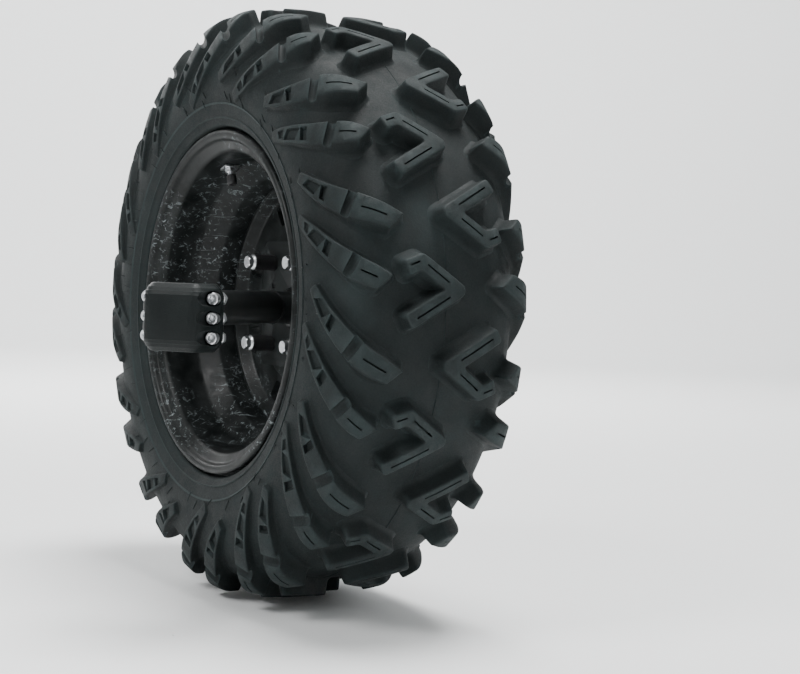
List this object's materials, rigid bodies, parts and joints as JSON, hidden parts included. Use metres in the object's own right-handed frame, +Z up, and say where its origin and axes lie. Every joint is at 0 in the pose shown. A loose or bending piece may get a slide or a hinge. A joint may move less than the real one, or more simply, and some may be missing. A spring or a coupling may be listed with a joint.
{
  "type": "spare tire carrier",
  "caption": "Clamp-on spare tire carrier for a round cage tube: split clamp, bent arm, bolted wheel plate, and a mounted off-road wheel and tire.",
  "frame": {"origin": "centre of the clamp bore, at the middle of the clamp's height, on the cage tube's axis", "axes": "+Z up along the cage tube, +Y from the clamp's front face to its rear face along the arm, +X to the right seen from the front"},
  "size_m": [0.6215, 0.5918, 0.685],
  "materials": {
    "powder_coat": "satin black powder coat, fine orange-peel texture",
    "black_steel": "semi-gloss black powder coat",
    "spacer_black": "matt black",
    "zinc_plate": "bright zinc plating",
    "wheel_paint": "gloss black paint, scuffed and dusty inside the barrel",
    "tire_rubber": "matt black moulded rubber",
    "black_plastic": "matt black moulded plastic"
  },
  "bodies": {
    "carrier": {"clamp_rear": "powder_coat", "arm_tube": "black_steel", "arm_weld_clamp": "black_steel", "arm_weld_plate": "black_steel", "wheel_plate": "black_steel", "clamp_nut_left_1": "zinc_plate", "clamp_nut_left_2": "zinc_plate", "clamp_nut_left_3": "zinc_plate", "clamp_nut_right_1": "zinc_plate", "clamp_nut_right_2": "zinc_plate", "clamp_nut_right_3": "zinc_plate", "wheel_bolt_1": "zinc_plate", "wheel_bolt_2": "zinc_plate", "wheel_bolt_3": "zinc_plate", "wheel_bolt_4": "zinc_plate", "spacer_1": "spacer_black", "spacer_2": "spacer_black", "spacer_3": "spacer_black", "spacer_4": "spacer_black"},
    "clamp_cap": {"clamp_front": "powder_coat", "clamp_screw_left_1": "zinc_plate", "clamp_screw_left_2": "zinc_plate", "clamp_screw_left_3": "zinc_plate", "clamp_screw_right_1": "zinc_plate", "clamp_screw_right_2": "zinc_plate", "clamp_screw_right_3": "zinc_plate"},
    "wheel": {"wheel_barrel_near": "wheel_paint", "wheel_barrel_drop": "wheel_paint", "wheel_barrel_far": "wheel_paint", "wheel_disc": "wheel_paint", "tire_tread": "tire_rubber", "tire_sidewall_near": "tire_rubber", "tire_sidewall_far": "tire_rubber", "valve_stem": "zinc_plate", "valve_plate": "zinc_plate", "valve_nut": "zinc_plate"},
    "lug_nut_1": {"lug_nut_1": "zinc_plate"},
    "lug_nut_2": {"lug_nut_2": "zinc_plate"},
    "lug_nut_3": {"lug_nut_3": "zinc_plate"},
    "lug_nut_4": {"lug_nut_4": "zinc_plate"},
    "valve_cap": {"valve_cap": "black_plastic"}
  },
  "joints": [
    {"name": "clamp_cap_pull", "type": "slide", "parent": "carrier", "child": "clamp_cap", "axis": [0, -1, 0], "range_m": [0, 0.06]},
    {"name": "wheel_pull", "type": "slide", "parent": "carrier", "child": "wheel", "axis": [0.6561, 0.7547, 0], "range_m": [0, 0.15]},
    {"name": "lug_nut_1_turn", "type": "hinge", "parent": "wheel", "child": "lug_nut_1", "pos_m": [0.00281, 0.32106, 0.06144], "axis": [0.6561, 0.7547, 0], "continuous": true},
    {"name": "lug_nut_2_turn", "type": "hinge", "parent": "wheel", "child": "lug_nut_2", "pos_m": [0.07592, 0.2575, 0.06144], "axis": [0.6561, 0.7547, 0], "continuous": true},
    {"name": "lug_nut_3_turn", "type": "hinge", "parent": "wheel", "child": "lug_nut_3", "pos_m": [0.07592, 0.2575, -0.03544], "axis": [0.6561, 0.7547, 0], "continuous": true},
    {"name": "lug_nut_4_turn", "type": "hinge", "parent": "wheel", "child": "lug_nut_4", "pos_m": [0.00281, 0.32106, -0.03544], "axis": [0.6561, 0.7547, 0], "continuous": true},
    {"name": "valve_cap_turn", "type": "hinge", "parent": "wheel", "child": "valve_cap", "pos_m": [-0.06476, 0.25922, 0.17472], "axis": [0.2581, -0.2244, -0.9397], "continuous": true}
  ]
}
